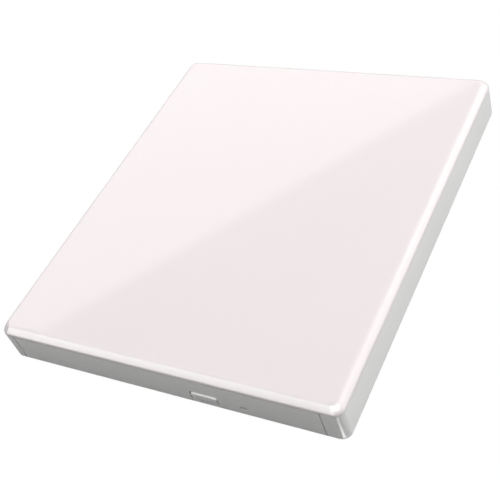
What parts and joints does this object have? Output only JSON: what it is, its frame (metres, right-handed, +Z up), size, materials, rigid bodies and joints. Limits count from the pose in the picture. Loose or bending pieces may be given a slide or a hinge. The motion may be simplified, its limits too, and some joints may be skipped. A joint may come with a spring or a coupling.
{
  "type": "external optical drive",
  "caption": "Slim portable tray-loading optical drive in a glossy white rounded case, with a sliding tray, eject button, spindle, moving pickup and rear sockets.",
  "frame": {"origin": "on the standing plane under the centre of the case", "axes": "+X along the tray front to the right, +Y to the back, +Z up"},
  "size_m": [0.135, 0.155, 0.0168],
  "materials": {
    "cover_gloss_white": "glossy pearl white, faintly pink",
    "case_white": "satin light grey-white with a fine mould grain",
    "black_rubber": "soft matt black",
    "plated_steel": "bright zinc plated",
    "label_paper": "plain matt label stock",
    "zinc_sheet": "dull galvanised sheet with a fine rolling grain",
    "rail_steel": "bright pressed steel",
    "tray_plastic": "dark grey, fine sparkle texture",
    "black_plastic": "black moulded",
    "circuit_board": "green solder mask",
    "circuit_board_blue": "blue solder mask",
    "dark_sheet": "dark satin coated sheet",
    "cast_zinc": "pale cast zinc, slightly grainy",
    "polished_rod": "ground and polished steel",
    "lens_glass": "clear coated lens with a bluish sheen",
    "rotor_plastic": "dark grey satin",
    "natural_plastic": "off-white acetal",
    "copper_coil": "enamelled copper wire",
    "ribbon_film": "white film over flat conductors",
    "port_shell": "bright nickel plated shell"
  },
  "bodies": {
    "case": {"top_cover": "cover_gloss_white", "bottom_case": "case_white", "rubber_feet": "black_rubber", "case_screws": "plated_steel", "rating_label": "label_paper", "drive_pan": "zinc_sheet", "drive_lid": "zinc_sheet", "lid_screws": "plated_steel", "left_guide": "zinc_sheet", "right_guide": "zinc_sheet", "lock_pin": "plated_steel", "flat_cable": "ribbon_film", "drive_board": "circuit_board", "cable_socket": "natural_plastic", "drive_plug": "black_plastic", "bridge_board": "circuit_board_blue", "bridge_chips": "black_plastic", "bridge_socket": "black_plastic", "usb_port": "port_shell", "power_jack": "black_plastic", "board_screws": "plated_steel"},
    "left_rail": {"left_rail": "rail_steel"},
    "right_rail": {"right_rail": "rail_steel"},
    "tray": {"tray": "tray_plastic", "tray_bezel": "case_white", "eject_switch": "plated_steel", "switch_board": "circuit_board", "tray_under_cover": "zinc_sheet", "traverse_cover": "dark_sheet", "traverse_chassis": "cast_zinc", "isolators": "black_rubber", "tray_board_screws": "plated_steel", "guide_rods": "polished_rod", "sled_motor": "plated_steel", "spindle_motor": "plated_steel", "tray_board": "circuit_board", "tray_board_chips": "black_plastic", "latch_pivot": "plated_steel", "solenoid_coil": "copper_coil", "solenoid_frame": "plated_steel"},
    "eject_button": {"eject_button": "case_white", "switch_plunger": "black_plastic"},
    "lead_screw": {"lead_screw": "polished_rod"},
    "pickup": {"pickup_sled": "cast_zinc"},
    "lens": {"lens_holder": "black_plastic", "objective_lens": "lens_glass"},
    "spindle": {"spindle_rotor": "rotor_plastic", "turntable_ring": "black_rubber"},
    "claw_1": {"disc_claw_1": "natural_plastic"},
    "claw_2": {"disc_claw_2": "natural_plastic"},
    "claw_3": {"disc_claw_3": "natural_plastic"},
    "latch_lever": {"latch_lever": "natural_plastic"},
    "solenoid_plunger": {"solenoid_plunger": "plated_steel"}
  },
  "joints": [
    {"name": "tray_slide", "type": "slide", "parent": "case", "child": "tray", "axis": [0, -1, 0], "range_m": [0, 0.126], "deforming": ["flat_cable"]},
    {"name": "left_rail_slide", "type": "slide", "parent": "case", "child": "left_rail", "axis": [0, -1, 0], "range_m": [0, 0.063]},
    {"name": "right_rail_slide", "type": "slide", "parent": "case", "child": "right_rail", "axis": [0, -1, 0], "range_m": [0, 0.063]},
    {"name": "eject_button_press", "type": "slide", "parent": "tray", "child": "eject_button", "axis": [0, 1, 0], "range_m": [0, 0.0005], "stiffness_N_per_m": 400},
    {"name": "spindle_spin", "type": "hinge", "parent": "tray", "child": "spindle", "pos_m": [-0.0008, -0.012, 0.008], "axis": [0, 0, 1], "continuous": true},
    {"name": "claw_1_slide", "type": "slide", "parent": "spindle", "child": "claw_1", "axis": [0, -1, 0], "range_m": [0, 0.0007], "stiffness_N_per_m": 300},
    {"name": "claw_2_slide", "type": "slide", "parent": "spindle", "child": "claw_2", "axis": [0.866, 0.5, 0], "range_m": [0, 0.0007], "stiffness_N_per_m": 300},
    {"name": "claw_3_slide", "type": "slide", "parent": "spindle", "child": "claw_3", "axis": [-0.866, 0.5, 0], "range_m": [0, 0.0007], "stiffness_N_per_m": 300},
    {"name": "pickup_slide", "type": "slide", "parent": "tray", "child": "pickup", "axis": [-0.7071, -0.7071, 0], "range_m": [0, 0.033]},
    {"name": "lead_screw_spin", "type": "hinge", "parent": "tray", "child": "lead_screw", "pos_m": [-0.0107, -0.04453, 0.0064], "axis": [-0.7071, -0.7071, 0], "range_deg": [0, 3961]},
    {"name": "lens_focus", "type": "slide", "parent": "pickup", "child": "lens", "axis": [0, 0, 1], "range_m": [-0.0003, 0.0003], "stiffness_N_per_m": 50},
    {"name": "latch_turn", "type": "hinge", "parent": "tray", "child": "latch_lever", "pos_m": [0.044, 0.034, 0.005], "axis": [0, 0, 1], "range_deg": [-10.1, 0]},
    {"name": "solenoid_pull", "type": "slide", "parent": "tray", "child": "solenoid_plunger", "axis": [0, -1, 0], "range_m": [-0.0014, 0], "stiffness_N_per_m": 50}
  ],
  "couplings": [
    {"joint": "left_rail_slide", "follows": "tray_slide", "ratio": 0.5},
    {"joint": "right_rail_slide", "follows": "tray_slide", "ratio": 0.5},
    {"joint": "lead_screw_spin", "follows": "pickup_slide", "rad_per_m": 2094.4},
    {"joint": "latch_turn", "follows": "solenoid_pull", "rad_per_m": 125}
  ]
}
